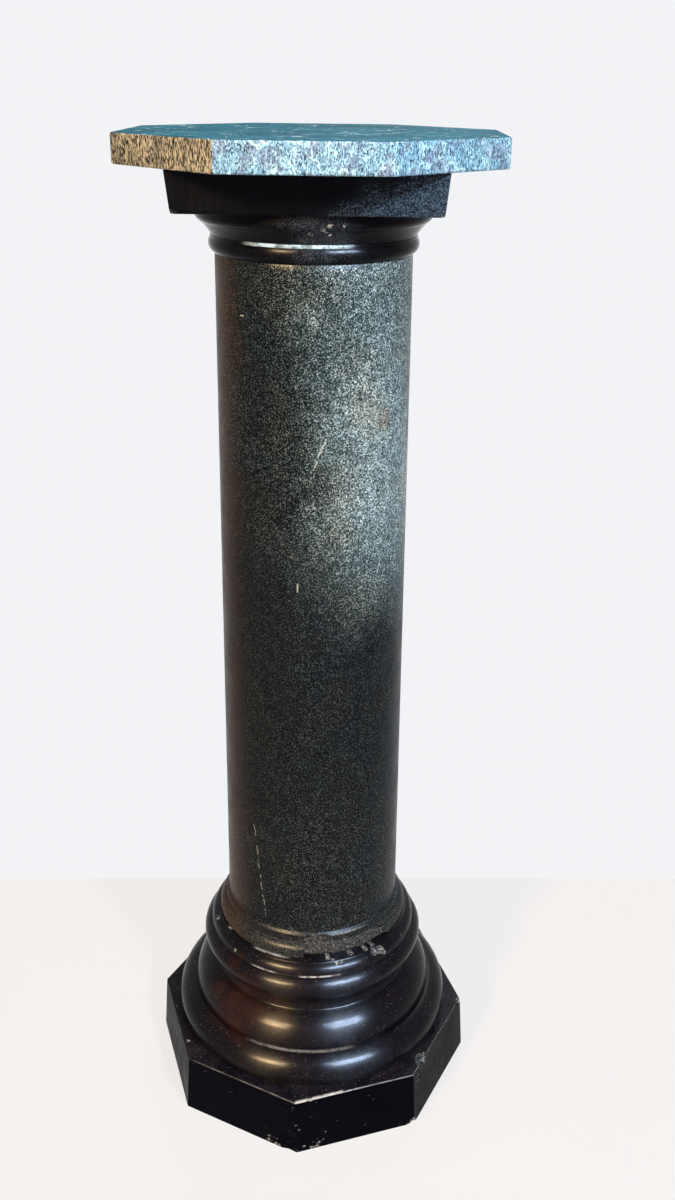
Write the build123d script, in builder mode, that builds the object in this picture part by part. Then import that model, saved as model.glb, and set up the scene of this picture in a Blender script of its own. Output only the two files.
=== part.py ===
from build123d import *
import os
from math import cos, radians, sin

# Polished marble pedestal column: five stacked blocks in line on four iron dowels.
# Millimetres, +Z up, origin in the middle of the plinth's underside. The abacus and the slab face
# along X and Y, and the front of the column looks along -Y.

# Plinth: an octagon with battered sides, turned against the slab
plinth_height = 69.5
plinth_foot_width = 346.0
plinth_top_width = 337.0
plinth_turn = 19.6
plinth_corner_radius = 2.0
plinth_arris = 1.6

# Base, from the lower torus up to the fillet under the shaft
lower_torus_seat_radius = 155.0
lower_torus_height = 34.5
lower_torus_bulge = 12.8
quirk_radius = 139.5
quirk_height = 1.2
quirk_depth = 2.0
cushion_top_radius = 119.0
cushion_height = 33.3
cushion_bulge = 6.5
scotia_top_radius = 118.0
scotia_height = 23.5
scotia_hollow = 6.0
upper_torus_shoulder_radius = 119.5
upper_torus_height = 26.0
upper_torus_bulge = 9.2
listel_inset = 1.3
listel_step_height = 1.5
listel_radius = 119.0
listel_height = 2.0
bead_top_radius = 111.5
bead_height = 11.3
bead_bulge = 2.8
cap_neck_radius = 110.0
cap_neck_rise = 0.8
cap_radius = 110.7
cap_height = 4.9

# Shaft: a foot of arris, ovolo and fillet, then a slight taper up to the neck
foot_radius = 108.3
foot_arris_height = 1.5
foot_ovolo_height = 13.0
foot_ovolo_bulge = 2.6
foot_fillet_radius = 100.4
foot_fillet_height = 8.8
foot_flare_height = 3.7
shaft_lower_radius = 97.6
shaft_upper_radius = 93.3
shaft_taper_height = 719.5

# Capital: turned astragal, fillet, cavetto and band under a square abacus that narrows downwards
joint_bevel = 0.8
astragal_seat_radius = 95.0
astragal_top_radius = 97.0
astragal_height = 13.5
astragal_bulge = 3.0
neck_fillet_radius = 97.3
neck_fillet_height = 2.1
cavetto_foot_radius = 96.6
cavetto_top_radius = 106.2
cavetto_height = 11.8
cavetto_hollow = 0.5
band_radius = 111.2
band_ovolo_height = 5.6
band_ovolo_bulge = 0.8
band_height = 9.2
abacus_height = 36.0
abacus_foot_width = 232.0
abacus_top_width = 239.0
abacus_corner_radius = 2.5
abacus_arris = 1.4

# Top slab
slab_thickness = 26.0
slab_width = 344.0
slab_corner_radius = 4.0
slab_arris_radius = 1.8

# Dowels: each stands on the floor of the lower block's socket
dowel_radius = 10.0
dowel_bevel = 1.5
dowel_bite = 45.0
slab_dowel_radius = 8.0
slab_dowel_bite_below = 26.0
slab_dowel_bite_above = 13.0
socket_clearance = 0.5
socket_headroom = 1.0

# Breaks: azimuths in degrees from +X, counter-clockwise
foot_break_start = 268.0
foot_break_sweep = 20.0
foot_break_inner_radius = 98.6
foot_break_sill_radius = 105.4
foot_break_sill_height = 2.4
foot_chip_sweep = 41.0
foot_chip_height = 5.0
foot_chip_depth = 3.6
torus_flat_azimuth = 21.0
torus_flat_depth = 5.3
cap_chip_azimuths = (283.0, 305.0, 311.0)
cap_chip_radius = 7.0
cap_chip_depth = 2.2
plinth_spall_radius = 30.0
plinth_spall_depth = 4.0
plinth_spall_height = 15.0
corner_chip_radius = 9.0
corner_chip_depth = 5.0
edge_chip_radius = 12.0
edge_chip_depth = 3.0
edge_chip_slides = (0.3, 0.62)
abacus_chip_radius = 5.0
abacus_chip_depth = 2.5

break_overrun = 6.0
octagon_sides = 8

base_height = (
    lower_torus_height
    + quirk_height
    + cushion_height
    + scotia_height
    + upper_torus_height
    + listel_step_height
    + listel_height
    + bead_height
    + cap_neck_rise
    + cap_height
)
foot_height = foot_arris_height + foot_ovolo_height + foot_fillet_height + foot_flare_height
shaft_height = foot_height + shaft_taper_height
neck_height = (
    joint_bevel
    + astragal_height
    + neck_fillet_height
    + cavetto_height
    + band_ovolo_height
    + band_height
)
base_level = plinth_height
shaft_level = base_level + base_height
capital_level = shaft_level + shaft_height
abacus_level = capital_level + neck_height
slab_level = abacus_level + abacus_height


def around(azimuth, reach, level):
    """The point at this azimuth, distance from the axis and height."""
    return (reach * cos(radians(azimuth)), reach * sin(radians(azimuth)), level)


def upright_plane(azimuth, level=0.0):
    """The plane through the column's axis at this azimuth: X runs outwards and Y runs up."""
    outwards = around(azimuth, 1.0, 0.0)
    sideways = around(azimuth - 90.0, 1.0, 0.0)
    return Plane(origin=(0, 0, level), x_dir=outwards, z_dir=sideways)


def socket_up(level, radius, depth):
    """Drills a dowel socket down into the top face of the block being made."""
    with Locations((0, 0, level)):
        Hole(radius + socket_clearance, depth)


def socket_down(level, radius, depth):
    """Drills a dowel socket up into the underside of the block being made."""
    with Locations(Location((0, 0, level), (180, 0, 0))):
        Hole(radius + socket_clearance, depth)


def spall(azimuth, surface, level, radius, depth):
    """Takes a shell-shaped break out of the block being made."""
    with Locations(around(azimuth, surface + radius - depth, level)):
        Sphere(radius, mode=Mode.SUBTRACT)


def export_piece(piece, name):
    """Labels a finished piece and writes it as a STEP file of that name."""
    piece.part.label = name
    export_step(piece.part, f"parts/{name}.step")


os.makedirs("parts", exist_ok=True)

# Plinth
plinth_corner_reach = plinth_foot_width / 2 / cos(radians(180 / octagon_sides))
plinth_top_reach = plinth_top_width / 2 / cos(radians(180 / octagon_sides))
plinth_front_azimuth = 270.0 - 180 / octagon_sides + plinth_turn
plinth_front_right_azimuth = plinth_front_azimuth + 360 / octagon_sides
plinth_right_azimuth = plinth_front_right_azimuth + 360 / octagon_sides
octagon_rotation = 180 / octagon_sides + plinth_turn

with BuildPart() as plinth:
    with BuildSketch(Plane.XY):
        RegularPolygon(plinth_foot_width / 2, octagon_sides, False, rotation=octagon_rotation)
    with BuildSketch(Plane.XY.offset(plinth_height)):
        RegularPolygon(plinth_top_width / 2, octagon_sides, False, rotation=octagon_rotation)
    loft()
    fillet(plinth.edges().group_by(Axis.Z)[1], plinth_corner_radius)
    chamfer(plinth.faces().sort_by(Axis.Z)[-1].edges(), plinth_arris)
    socket_up(plinth_height, dowel_radius, dowel_bite)
    spall(
        plinth_front_azimuth,
        plinth_corner_reach,
        plinth_spall_height,
        plinth_spall_radius,
        plinth_spall_depth,
    )
    spall(
        plinth_front_right_azimuth, plinth_corner_reach, 0.0, corner_chip_radius, corner_chip_depth
    )
    spall(
        plinth_right_azimuth,
        plinth_top_reach,
        plinth_height,
        corner_chip_radius,
        corner_chip_depth,
    )
    front_right_corner = Vector(around(plinth_front_right_azimuth, plinth_top_reach, 0.0))
    right_corner = Vector(around(plinth_right_azimuth, plinth_top_reach, 0.0))
    edge_azimuth = (plinth_front_right_azimuth + plinth_right_azimuth) / 2
    edge_outwards = Vector(around(edge_azimuth, edge_chip_radius - edge_chip_depth, plinth_height))
    for slide in edge_chip_slides:
        along_edge = front_right_corner + (right_corner - front_right_corner) * slide
        with Locations(along_edge + edge_outwards):
            Sphere(edge_chip_radius, mode=Mode.SUBTRACT)

# Base: one turned block
quirk_level = lower_torus_height
cushion_level = quirk_level + quirk_height
scotia_level = cushion_level + cushion_height
upper_torus_level = scotia_level + scotia_height
listel_step_level = upper_torus_level + upper_torus_height
listel_level = listel_step_level + listel_step_height
bead_level = listel_level + listel_height
cap_neck_level = bead_level + bead_height
cap_level = cap_neck_level + cap_neck_rise
listel_step_radius = upper_torus_shoulder_radius - listel_inset
bead_seat_radius = listel_radius - listel_inset / 2

with BuildPart() as base:
    with BuildSketch(upright_plane(0.0, base_level)):
        with BuildLine():
            seat = Line((0, 0), (lower_torus_seat_radius, 0))
            lower_torus = SagittaArc(seat @ 1, (quirk_radius, quirk_level), -lower_torus_bulge)
            quirk = Polyline(
                lower_torus @ 1,
                (quirk_radius - quirk_depth, quirk_level),
                (quirk_radius - quirk_depth, cushion_level),
                (quirk_radius, cushion_level),
            )
            cushion = SagittaArc(quirk @ 1, (cushion_top_radius, scotia_level), -cushion_bulge)
            scotia = SagittaArc(
                cushion @ 1, (scotia_top_radius, upper_torus_level), scotia_hollow
            )
            upper_torus = SagittaArc(
                scotia @ 1,
                (upper_torus_shoulder_radius, listel_step_level),
                -upper_torus_bulge,
            )
            listel = Polyline(
                upper_torus @ 1,
                (listel_step_radius, listel_step_level),
                (listel_step_radius, listel_level),
                (listel_radius, listel_level),
                (listel_radius, bead_level),
                (bead_seat_radius, bead_level),
            )
            bead = SagittaArc(listel @ 1, (bead_top_radius, cap_neck_level), -bead_bulge)
            Polyline(
                bead @ 1,
                (cap_neck_radius, cap_level),
                (cap_radius, base_height),
                (0, base_height),
                (0, 0),
            )
        make_face()
    revolve(axis=Axis.Z)
    socket_up(shaft_level, dowel_radius, dowel_bite)
    socket_down(base_level, dowel_radius, dowel_bite + socket_headroom)
    # The upper torus has lost a flat flake at the back right, and its cap fillet has small chips
    upper_torus_reach = upper_torus_shoulder_radius + upper_torus_bulge
    flake_reach = upper_torus_reach - torus_flat_depth
    flake_middle = base_level + upper_torus_level + upper_torus_height / 2
    with Locations(
        Location(
            around(torus_flat_azimuth, flake_reach + break_overrun, flake_middle),
            (0, 0, torus_flat_azimuth),
        )
    ):
        Box(2 * break_overrun, upper_torus_reach, upper_torus_height, mode=Mode.SUBTRACT)
    for azimuth in cap_chip_azimuths:
        spall(azimuth, cap_radius, shaft_level, cap_chip_radius, cap_chip_depth)

# Shaft: one turned block, broken along the front of its foot
ovolo_level = foot_arris_height
foot_fillet_level = ovolo_level + foot_ovolo_height
flare_level = foot_fillet_level + foot_fillet_height

with BuildPart() as shaft:
    with BuildSketch(upright_plane(0.0, shaft_level)):
        with BuildLine():
            arris = Polyline((0, 0), (foot_radius, 0), (foot_radius, ovolo_level))
            ovolo = SagittaArc(
                arris @ 1, (foot_fillet_radius, foot_fillet_level), -foot_ovolo_bulge
            )
            fillet_face = Line(ovolo @ 1, (foot_fillet_radius, flare_level))
            flare = Line(fillet_face @ 1, (shaft_lower_radius, foot_height))
            Polyline(
                flare @ 1, (shaft_upper_radius, shaft_height), (0, shaft_height), (0, 0)
            )
        make_face()
    revolve(axis=Axis.Z)
    socket_up(capital_level, dowel_radius, dowel_bite)
    socket_down(shaft_level, dowel_radius, dowel_bite + socket_headroom)
    break_reach = foot_radius + break_overrun
    with BuildSketch(upright_plane(foot_break_start, shaft_level)):
        Polygon(
            (foot_break_inner_radius, foot_height),
            (foot_break_sill_radius, foot_break_sill_height),
            (break_reach, foot_break_sill_height),
            (break_reach, foot_height),
            align=None,
        )
    revolve(axis=Axis.Z, revolution_arc=foot_break_sweep, mode=Mode.SUBTRACT)
    with BuildSketch(upright_plane(foot_break_start + foot_break_sweep, shaft_level)):
        Polygon(
            (foot_radius - foot_chip_depth, 0),
            (break_reach, 0),
            (break_reach, foot_chip_height),
            (foot_radius, foot_chip_height),
            align=None,
        )
    revolve(axis=Axis.Z, revolution_arc=foot_chip_sweep, mode=Mode.SUBTRACT)

# Capital: neck and abacus in one block
astragal_level = joint_bevel
neck_fillet_level = astragal_level + astragal_height
cavetto_level = neck_fillet_level + neck_fillet_height
band_ovolo_level = cavetto_level + cavetto_height
band_level = band_ovolo_level + band_ovolo_height

abacus_corner_reach = abacus_foot_width / 2 / cos(radians(45)) - abacus_corner_radius / 2

with BuildPart() as capital:
    with BuildSketch(Plane.XY.offset(abacus_level)):
        Rectangle(abacus_foot_width, abacus_foot_width)
    with BuildSketch(Plane.XY.offset(slab_level)):
        Rectangle(abacus_top_width, abacus_top_width)
    loft()
    fillet(capital.edges().group_by(Axis.Z)[1], abacus_corner_radius)
    chamfer(capital.faces().sort_by(Axis.Z)[-1].edges(), abacus_arris)
    chamfer(capital.faces().sort_by(Axis.Z)[0].edges(), abacus_arris)
    with BuildSketch(upright_plane(0.0, capital_level)):
        with BuildLine():
            neck_seat = Polyline(
                (0, 0),
                (astragal_seat_radius - joint_bevel, 0),
                (astragal_seat_radius, astragal_level),
            )
            astragal = SagittaArc(
                neck_seat @ 1, (astragal_top_radius, neck_fillet_level), -astragal_bulge
            )
            neck_fillet = Polyline(
                astragal @ 1,
                (neck_fillet_radius, neck_fillet_level),
                (neck_fillet_radius, cavetto_level),
                (cavetto_foot_radius, cavetto_level),
            )
            cavetto = SagittaArc(
                neck_fillet @ 1, (cavetto_top_radius, band_ovolo_level), cavetto_hollow
            )
            band_ovolo = SagittaArc(cavetto @ 1, (band_radius, band_level), -band_ovolo_bulge)
            Polyline(band_ovolo @ 1, (band_radius, neck_height), (0, neck_height), (0, 0))
        make_face()
    revolve(axis=Axis.Z)
    socket_up(slab_level, slab_dowel_radius, slab_dowel_bite_below)
    socket_down(capital_level, dowel_radius, dowel_bite + socket_headroom)
    for azimuth in (225.0, 315.0):
        spall(azimuth, abacus_corner_reach, abacus_level, abacus_chip_radius, abacus_chip_depth)

# Top slab
with BuildPart() as top_slab:
    with BuildSketch(Plane.XY.offset(slab_level)):
        RegularPolygon(slab_width / 2, octagon_sides, False, rotation=180 / octagon_sides)
    extrude(amount=slab_thickness)
    fillet(top_slab.edges().filter_by(Axis.Z), slab_corner_radius)
    fillet(
        top_slab.faces().sort_by(Axis.Z)[-1].edges() + top_slab.faces().sort_by(Axis.Z)[0].edges(),
        slab_arris_radius,
    )
    socket_down(slab_level, slab_dowel_radius, slab_dowel_bite_above + socket_headroom)

# Dowels
joints = {
    "base_dowel": (base_level, dowel_radius, dowel_bite, dowel_bite),
    "shaft_dowel": (shaft_level, dowel_radius, dowel_bite, dowel_bite),
    "capital_dowel": (capital_level, dowel_radius, dowel_bite, dowel_bite),
    "slab_dowel": (slab_level, slab_dowel_radius, slab_dowel_bite_below, slab_dowel_bite_above),
}
for name, (level, radius, bite_below, bite_above) in joints.items():
    with BuildPart() as dowel:
        with BuildSketch(Plane.XY.offset(level - bite_below)):
            Circle(radius)
        extrude(amount=bite_below + bite_above)
        chamfer(dowel.edges().filter_by(GeomType.CIRCLE), dowel_bevel)
    export_piece(dowel, name)

for piece, name in (
    (plinth, "plinth"),
    (base, "base"),
    (shaft, "shaft"),
    (capital, "capital"),
    (top_slab, "top_slab"),
):
    export_piece(piece, name)

print(f"column height {slab_level + slab_thickness:.1f} mm")
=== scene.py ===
from math import atan, cos, inf, pi, radians, sin, sqrt, tan
from random import Random

import bpy
import numpy as np
from mathutils import Matrix, Vector, noise


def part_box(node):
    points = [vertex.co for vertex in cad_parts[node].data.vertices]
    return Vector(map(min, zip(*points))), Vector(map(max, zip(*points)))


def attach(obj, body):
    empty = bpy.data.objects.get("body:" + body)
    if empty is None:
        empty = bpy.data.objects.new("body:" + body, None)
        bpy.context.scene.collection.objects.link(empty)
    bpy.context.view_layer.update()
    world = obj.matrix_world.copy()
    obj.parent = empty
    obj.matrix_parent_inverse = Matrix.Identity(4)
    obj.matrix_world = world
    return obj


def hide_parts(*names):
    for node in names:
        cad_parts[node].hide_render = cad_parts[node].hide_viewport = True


# A polished marble pedestal column. The form is worked out in millimetres and stored in metres.
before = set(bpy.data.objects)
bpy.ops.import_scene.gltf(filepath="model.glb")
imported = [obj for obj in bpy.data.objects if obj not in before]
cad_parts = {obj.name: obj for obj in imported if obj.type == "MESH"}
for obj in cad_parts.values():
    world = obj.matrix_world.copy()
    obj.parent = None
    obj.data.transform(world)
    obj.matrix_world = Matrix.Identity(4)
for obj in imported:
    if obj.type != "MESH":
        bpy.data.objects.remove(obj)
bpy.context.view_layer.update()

MM = 0.001
# The angle that one side of an octagon takes up, in degrees
side_angle = 45.0


def level(node, end):
    """The height in millimetres of a CAD node's underside (end 0) or top (end 1)."""
    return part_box(node)[end].z / MM


plinth_bed = level("plinth", 0)
base_bed = level("base", 0)
shaft_bed = level("shaft", 0)
capital_bed = level("capital", 0)
slab_bed = level("top_slab", 0)
column_top = level("top_slab", 1)
dowel_clearance = 0.5
dowel_headroom = 1.0


def dowel_socket(dowel, end):
    """Radius and floor level of the socket at one end of a dowel."""
    low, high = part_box(dowel)
    radius = (high.x - low.x) / 2 / MM + dowel_clearance
    return radius, (low.z / MM, high.z / MM + dowel_headroom)[end]


# Rings round the column's axis
def at(azimuth, distance, height):
    """A point from its azimuth in degrees, its distance from the axis and its height."""
    angle = radians(azimuth)
    return np.array([distance * cos(angle), distance * sin(angle), height])


def azimuth_steps(coarse, fine, fine_span, corners=(), corner_step=0.1, corner_reach=0.7):
    """Azimuths in radians round the axis, closer together in the fine span and at the corners."""
    steps = list(np.arange(0.0, 360.0, coarse)) + list(np.arange(*fine_span, fine))
    for corner in corners:
        steps += list(np.arange(corner - corner_reach, corner + corner_reach, corner_step))
    steps = np.unique(np.round(np.array(steps) % 360.0, 3))
    gaps = np.diff(np.append(steps, steps[0] + 360.0))
    return np.radians(steps[gaps > corner_step * 0.4])


def polygon_reach(azimuths, sides, turn, apothem, corner):
    """Distance from the axis to the sides of a regular polygon with rounded corners."""
    half = pi / sides
    swing = np.mod(azimuths - radians(turn) + half, 2 * half) - half
    centre = (apothem - corner) / cos(half)
    from_corner = half - np.abs(swing)
    round_part = centre * np.cos(from_corner) + np.sqrt(
        np.maximum(corner**2 - (centre * np.sin(from_corner)) ** 2, 0.0)
    )
    flat_limit = atan((apothem - corner) * tan(half) / apothem)
    return np.where(np.abs(swing) < flat_limit, apothem / np.cos(swing), round_part)


def arc(start, end, bulge):
    """Points about 1 mm apart after start on the arc to end. A positive bulge rises outwards."""
    start, end = np.array(start, float), np.array(end, float)
    chord = end - start
    length = np.linalg.norm(chord)
    along = chord / length
    outwards = np.array([along[1], -along[0]])
    radius = (length**2 / 4 + bulge**2) / (2 * abs(bulge))
    half = 2 * atan(2 * abs(bulge) / length)
    count = max(4, int(round(2 * half * radius)))
    points = []
    for angle in np.linspace(-half, half, count + 1)[1:]:
        rise = (radius * cos(angle) - (radius - abs(bulge))) * np.sign(bulge)
        points.append(tuple((start + end) / 2 + along * radius * sin(angle) + outwards * rise))
    return points


def subdivide(points, step):
    """The same line with points no further apart than the step."""
    fine = [points[0]]
    for a, b in zip(points[:-1], points[1:]):
        count = max(1, int(np.ceil(np.hypot(b[0] - a[0], b[1] - a[1]) / step)))
        for k in range(1, count + 1):
            fine.append((a[0] + (b[0] - a[0]) * k / count, a[1] + (b[1] - a[1]) * k / count))
    return fine


def worn(points):
    """The line with its arrises softened by handling."""
    line = np.array(points)
    line[1:-1] = line[:-2] * 0.25 + line[1:-1] * 0.5 + line[2:] * 0.25
    return [tuple(p) for p in line]


def stood(line, bed):
    """An outline of reaches and rises, stood on its bed."""
    return [(reach, bed + rise) for reach, rise in line]


def above(height, upward=-inf):
    """Chooses a piece's second material for faces above a height that look up by more than this."""
    return lambda centre, normal: int(centre.z > height * MM and normal.z > upward)


def add_object(name, data):
    """A new object in the scene."""
    made = bpy.data.objects.new(name, data)
    bpy.context.scene.collection.objects.link(made)
    return made


# The height of one ripple on the wall of a large break
ripple_pitch = 3.4


class Piece:
    """A closed surface of rings round the axis, from the lower socket's floor to the upper one's."""

    def __init__(self, azimuths):
        self.azimuths = azimuths
        self.rings = []

    def ring(self, reach, height):
        """Adds a ring: reach is one distance from the axis, or one for each azimuth."""
        reach = np.broadcast_to(np.asarray(reach, float), self.azimuths.shape)
        self.rings.append(np.stack([reach, np.full(reach.shape, float(height))], 1))

    def face(self, reach, count):
        """Adds rings at the last ring's height, evenly from its reach to the given one."""
        last = self.rings[-1]
        reach = np.broadcast_to(np.asarray(reach, float), self.azimuths.shape)
        for share in np.linspace(0.0, 1.0, count + 1)[1:]:
            self.ring(last[:, 0] * (1 - share) + reach * share, last[0, 1])

    def close(self):
        """Turns the rings into points in space; nothing is broken yet."""
        rings = np.array(self.rings)
        reach, height = rings[:, :, 0], rings[:, :, 1]
        across = [reach * np.cos(self.azimuths), reach * np.sin(self.azimuths)]
        self.points = np.stack([*across, height], 2)
        self.bed = height.min()
        self.broken = np.zeros(reach.shape)
        self.wear_and_highlight = np.zeros(reach.shape)

    def spall(self, centre, radius, roughness, grain, strength, ripple=0.0):
        """Takes a shell-shaped break out: what lies in the sphere moves back to its wall.

        The wall's noise has the roughness for its height and the grain for its frequency. The
        strength is how far the wall shows the broken stone's colour.
        """
        offset = self.points - np.array(centre)
        distance = np.linalg.norm(offset, axis=2)
        near = distance < radius + 2 * roughness + ripple
        for i, j in np.argwhere(near):
            place = Vector(self.points[i, j])
            rough = noise.noise(place * grain) + 0.5 * noise.noise(place * grain * 2.7)
            wall = radius + roughness * rough
            if ripple:
                wall += ripple * sin(2 * pi * (place.z - self.bed + 0.4 * abs(rough)) / ripple_pitch)
            if distance[i, j] < wall:
                self.points[i, j] = centre + offset[i, j] / distance[i, j] * wall
                self.points[i, j, 2] = max(self.points[i, j, 2], self.bed)
                self.broken[i, j] = max(self.broken[i, j], strength)

    def chip(self, azimuth, distance, height, radius, depth, roughness, grain, strength):
        """Takes a round chip of the given depth out of the surface, which is at the distance."""
        centre = at(azimuth, distance + radius - depth, height)
        self.spall(centre, radius, roughness, grain, strength)

    def reach(self):
        """How far each point is from the axis."""
        return np.hypot(self.points[:, :, 0], self.points[:, :, 1])

    def pale_arris(self, rise, half, least, paleness):
        """Paints an arris pale, for wear and as a painted highlight, with a strength by azimuth, within half
        its width and past a reach.
        """
        band = (np.abs(self.points[:, :, 2] - self.bed - rise) < half) & (self.reach() > least)
        strength = band * np.interp(np.degrees(self.azimuths), *paleness)
        self.wear_and_highlight = np.maximum(self.wear_and_highlight, strength)

    def mesh(self, name, materials, choose=None):
        """Makes the Blender object. Each face's material is chosen by its centre and normal."""
        rings, columns = self.points.shape[:2]
        inner = self.points[1:-1].reshape(-1, 3)
        vertices = np.vstack([self.points[0, :1], inner, self.points[-1, :1]]) * MM
        top = len(vertices) - 1
        sides = [(j, (j + 1) % columns) for j in range(columns)]
        last = 1 + (rings - 3) * columns
        faces = [(0, 1 + right, 1 + left) for left, right in sides]
        for row in range(1, last, columns):
            faces += [(row + a, row + b, row + columns + b, row + columns + a) for a, b in sides]
        faces += [(last + left, last + right, top) for left, right in sides]
        made = bpy.data.meshes.new(name)
        made.from_pydata(vertices.tolist(), [], faces)
        for key, values in (("broken", self.broken), ("wear_and_highlight", self.wear_and_highlight)):
            stored = made.attributes.new(key, "FLOAT", "POINT")
            flat = np.concatenate([[0.0], values[1:-1].ravel(), [0.0]])
            stored.data.foreach_set("value", flat.astype(np.float32))
        made.polygons.foreach_set("use_smooth", [True] * len(faces))
        made.set_sharp_from_angle(angle=radians(38))
        for material in materials:
            made.materials.append(material)
        if choose is not None:
            chosen = [choose(polygon.center, polygon.normal) for polygon in made.polygons]
            made.polygons.foreach_set("material_index", chosen)
        piece = add_object(name, made)
        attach(piece, "root")
        return piece


# The shaft's mean radius, on which its surface is unrolled
shaft_reach = 95.0


def girth(azimuth, height):
    """A place on the unrolled shaft, in metres, from its azimuth in degrees and its height."""
    return (radians(azimuth - 270.0) * shaft_reach * MM, height * MM, 0.0)


# Shader nodes
class Nodes:
    """A node tree, with short ways to add to it. A value is a number, a colour or a socket."""

    def __init__(self, tree):
        self.tree = tree
        self.tree.nodes.clear()

    def node(self, kind, inputs=None, **settings):
        made = self.tree.nodes.new(kind)
        for key, value in settings.items():
            setattr(made, key, value)
        for key, value in (inputs or {}).items():
            self.put(made.inputs[key], value)
        return made

    def put(self, socket, value):
        if isinstance(value, bpy.types.NodeSocket):
            self.tree.links.new(value, socket)
        else:
            socket.default_value = value

    def math(self, operation, a, b=0.0, clamp=False):
        made = self.node("ShaderNodeMath", {0: a, 1: b}, operation=operation, use_clamp=clamp)
        return made.outputs[0]

    def seen(self):
        """1 for what the camera sees, also in a mirror or through glass, and 0 for other light."""
        rays = self.node("ShaderNodeLightPath").outputs
        seen = self.math("MAXIMUM", rays["Is Camera Ray"], rays["Is Glossy Ray"])
        return self.math("MAXIMUM", seen, rays["Is Transmission Ray"])


class Shader(Nodes):
    """A node material, with short ways to add what the stones need."""

    def __init__(self, name):
        self.material = bpy.data.materials.new(name)
        self.material.use_nodes = True
        super().__init__(self.material.node_tree)
        self.output = self.node("ShaderNodeOutputMaterial")
        self.surface = self.node("ShaderNodeBsdfPrincipled")
        self.put(self.output.inputs["Surface"], self.surface.outputs["BSDF"])
        self.place = self.node("ShaderNodeTexCoord").outputs["Object"]

    def set(self, **inputs):
        """Sets or links the surface's own sockets, named with underscores for spaces."""
        for key, value in inputs.items():
            self.put(self.surface.inputs[key.replace("_", " ")], value)

    def plus(self, first, *others):
        """The sum of numbers or sockets."""
        for other in others:
            first = self.math("ADD", first, other)
        return first

    def minus(self, a, b):
        return self.math("SUBTRACT", a, b)

    def times(self, first, *others):
        """The product of numbers or sockets."""
        for other in others:
            first = self.math("MULTIPLY", first, other)
        return first

    def vector(self, operation, a, b):
        """Vector arithmetic: a distance or a dot product gives a number, the rest a vector."""
        second = "Scale" if operation == "SCALE" else 1
        made = self.node("ShaderNodeVectorMath", {0: a, second: b}, operation=operation)
        return made.outputs["Value" if operation in ("DISTANCE", "DOT_PRODUCT") else "Vector"]

    def range(self, value, low, high, to_low=0.0, to_high=1.0):
        """The value's place between low and high, smoothly, as a number from to_low to to_high."""
        inputs = {"Value": value, "From Min": low, "From Max": high, "To Min": to_low, "To Max": to_high}
        return self.node("ShaderNodeMapRange", inputs, interpolation_type="SMOOTHSTEP").outputs["Result"]

    def noise(self, scale, detail=3.0, roughness=0.6, distortion=0.0, place=None):
        inputs = {"Vector": place or self.place, "Scale": scale, "Detail": detail}
        inputs.update({"Roughness": roughness, "Distortion": distortion})
        return self.node("ShaderNodeTexNoise", inputs).outputs["Fac"]

    def seams(self, scale, place):
        """How far a place is from the nearest border between random cells."""
        inputs = {"Vector": place, "Scale": scale}
        return self.node("ShaderNodeTexVoronoi", inputs, feature="DISTANCE_TO_EDGE").outputs["Distance"]

    def shaken(self, place, scale, reach):
        """The place moved by a small random offset."""
        inputs = {"Vector": self.place, "Scale": scale, "Detail": 2.0}
        vague = self.node("ShaderNodeTexNoise", inputs).outputs["Color"]
        centred = self.vector("SUBTRACT", vague, (0.5, 0.5, 0.5))
        return self.vector("ADD", place, self.vector("SCALE", centred, 2.0 * reach))

    def stretched(self, x, y, z):
        """The place with each axis scaled, for streaks."""
        return self.vector("MULTIPLY", self.place, (x, y, z))

    def ramp(self, value, *stops):
        made = self.node("ShaderNodeValToRGB", {"Fac": value})
        elements = made.color_ramp.elements
        while len(elements) < len(stops):
            elements.new(0.5)
        for element, (position, colour) in zip(elements, stops):
            element.position = position
            element.color = (*colour, 1.0)
        return made.outputs["Color"]

    def mix(self, factor, a, b, blend="MIX"):
        made = self.node("ShaderNodeMix", data_type="RGBA", blend_type=blend)
        self.put(made.inputs[0], factor)
        for socket, value in ((made.inputs[6], a), (made.inputs[7], b)):
            self.put(socket, value if isinstance(value, bpy.types.NodeSocket) else (*value, 1.0))
        return made.outputs[2]

    def shade(self, colour, amount):
        """The colour times a number from a socket."""
        grey = self.node("ShaderNodeCombineColor", {0: amount, 1: amount, 2: amount})
        return self.mix(1.0, colour, grey.outputs[0], "MULTIPLY")

    def attribute(self, name):
        return self.node("ShaderNodeAttribute", attribute_name=name).outputs["Fac"]

    def bump(self, height, distance):
        made = self.node("ShaderNodeBump", {"Height": height, "Distance": distance})
        self.set(Normal=made.outputs["Normal"])

    def axes(self):
        """The place's x, y and z."""
        return self.node("ShaderNodeSeparateXYZ", {0: self.place}).outputs

    def around(self, radius):
        """How far a place is along the girth, in metres from the front."""
        x, y, _ = self.axes()
        azimuth = self.math("ARCTAN2", y, x)
        return self.times(self.plus(azimuth, pi / 2), radius)

    def rubble(self, *stops):
        """The colour of a broken face."""
        return self.ramp(self.noise(420.0, 4.0, 0.7), *stops)

    def segment(self, place, start, end, half_width):
        """1 on a line between two places on the unrolled shaft, falling to 0 at its half width."""
        start, end = Vector(girth(*start)), Vector(girth(*end))
        along = end - start
        offset = self.vector("SUBTRACT", place, start)
        dot = self.vector("DOT_PRODUCT", offset, along)
        share = self.math("DIVIDE", dot, along.length_squared, clamp=True)
        gap = self.vector("DISTANCE", offset, self.vector("SCALE", along, share))
        return self.range(gap, 0.0, half_width, 1.0, 0.0)


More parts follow.
